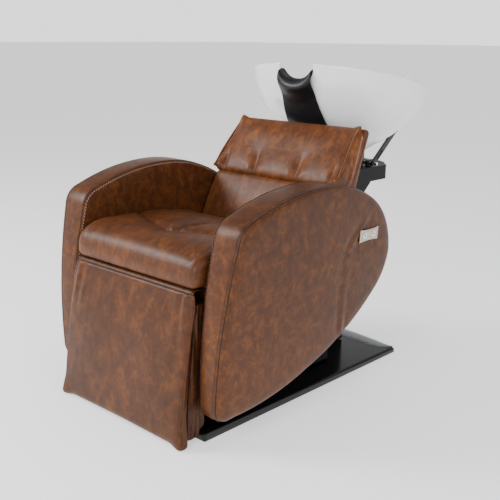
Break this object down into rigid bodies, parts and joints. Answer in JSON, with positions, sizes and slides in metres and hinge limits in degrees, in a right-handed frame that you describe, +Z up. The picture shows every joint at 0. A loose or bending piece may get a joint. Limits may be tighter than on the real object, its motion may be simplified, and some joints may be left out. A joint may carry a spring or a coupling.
{
  "type": "shampoo backwash unit",
  "caption": "Salon shampoo chair in mottled brown leather with a powered legrest, on a low black base, with a tilting white ceramic bowl on a column behind it.",
  "frame": {"origin": "on the floor, at the centre of the base's width and of its straight sides' length", "axes": "+Z up; -Y is the front, where the sitter's feet are; +X is the sitter's left, the arm with the switch"},
  "size_m": [0.742, 1.1401, 0.9269],
  "materials": {
    "upholstery": "satin",
    "plywood": "matte",
    "base_gloss": "gloss",
    "black_plastic": "satin",
    "frame_steel": "matte",
    "black_steel": "satin",
    "bright_steel": "polished",
    "switch_metal": "satin",
    "ceramic": "gloss",
    "neck_rubber": "satin",
    "foot_rubber": "matte",
    "lamp": "gloss",
    "brass_fitting": "satin"
  },
  "bodies": {
    "root": {"base_plate": "frame_steel", "base_cover": "base_gloss", "base_feet": "foot_rubber", "frame_uprights": "frame_steel", "frame_side_rails": "frame_steel", "frame_cross_rails": "frame_steel", "side_skirts": "black_plastic", "front_skirt": "black_plastic", "rear_skirt": "black_plastic", "service_door": "black_plastic", "service_door_screws": "bright_steel", "power_supply": "black_plastic", "water_inlets": "brass_fitting", "cable_gland": "black_plastic", "arm_lining_left": "upholstery", "arm_lining_right": "upholstery", "arm_board_left": "plywood", "arm_board_right": "plywood", "arm_pad_left": "upholstery", "arm_pad_right": "upholstery", "arm_bolts": "bright_steel", "switch_plate": "switch_metal", "switch_lamp": "lamp", "switch_box": "black_plastic", "seat_board": "plywood", "seat_cushion": "upholstery", "back_cushion": "upholstery", "back_pillow": "upholstery", "back_board": "plywood", "back_panel": "upholstery", "back_brackets": "frame_steel", "hinge_arms": "black_steel", "drive_barrel": "black_plastic", "drive_gearbox": "black_plastic", "drive_motor": "black_steel", "drive_brackets": "frame_steel", "column_post": "frame_steel", "column_cover": "black_plastic", "column_shelf": "black_plastic", "shelf_underside": "black_plastic", "tilt_axle": "bright_steel", "tilt_stands": "black_steel"},
    "legrest": {"legrest_pad": "upholstery", "legrest_box": "plywood", "hinge_leaves": "bright_steel", "drive_lug": "black_steel"},
    "drive_rod": {"drive_rod": "bright_steel"},
    "bowl": {"bowl": "ceramic", "bowl_cradle": "black_steel", "tilt_arms": "black_steel", "neck_rest": "neck_rubber", "drain_fitting": "bright_steel", "mixer_body": "bright_steel", "shower_holder": "bright_steel"},
    "drain_strainer": {"drain_strainer": "bright_steel"},
    "mixer_cap": {"mixer_cap": "bright_steel"},
    "mixer_lever": {"mixer_lever": "bright_steel"},
    "hand_shower": {"hand_shower": "black_plastic"},
    "button_down": {"button_down": "bright_steel"},
    "button_up": {"button_up": "bright_steel"}
  },
  "joints": [
    {"name": "legrest_lift", "type": "hinge", "parent": "root", "child": "legrest", "pos_m": [0, -0.432, 0.385], "axis": [-1, 0, 0], "range_deg": [0, 80]},
    {"name": "drive_stroke", "type": "slide", "parent": "root", "child": "drive_rod", "axis": [0, -1, 0], "range_m": [0, 0.136]},
    {"name": "bowl_tilt", "type": "hinge", "parent": "root", "child": "bowl", "pos_m": [0, 0.472, 0.6045], "axis": [1, 0, 0], "range_deg": [-10, 0]},
    {"name": "strainer_lift", "type": "slide", "parent": "bowl", "child": "drain_strainer", "axis": [0, 0, 1], "range_m": [0, 0.03]},
    {"name": "mixer_swing", "type": "hinge", "parent": "bowl", "child": "mixer_cap", "pos_m": [0.115, 0.57, 0.85], "axis": [0, 0, 1], "range_deg": [-50, 50]},
    {"name": "mixer_flow", "type": "hinge", "parent": "mixer_cap", "child": "mixer_lever", "pos_m": [0.115, 0.57, 0.8675], "axis": [0.676, -0.7369, 0], "range_deg": [0, 25]},
    {"name": "shower_lift", "type": "slide", "parent": "bowl", "child": "hand_shower", "axis": [0, 0, 1], "range_m": [0, 0.12]},
    {"name": "button_down_press", "type": "slide", "parent": "root", "child": "button_down", "axis": [-0.9969, 0, 0.0785], "range_m": [0, 0.002], "stiffness_N_per_m": 600},
    {"name": "button_up_press", "type": "slide", "parent": "root", "child": "button_up", "axis": [-0.9969, 0, 0.0785], "range_m": [0, 0.002], "stiffness_N_per_m": 600}
  ],
  "couplings": [
    {"joint": "drive_stroke", "follows": "legrest_lift", "m_per_rad": 0.097403}
  ]
}
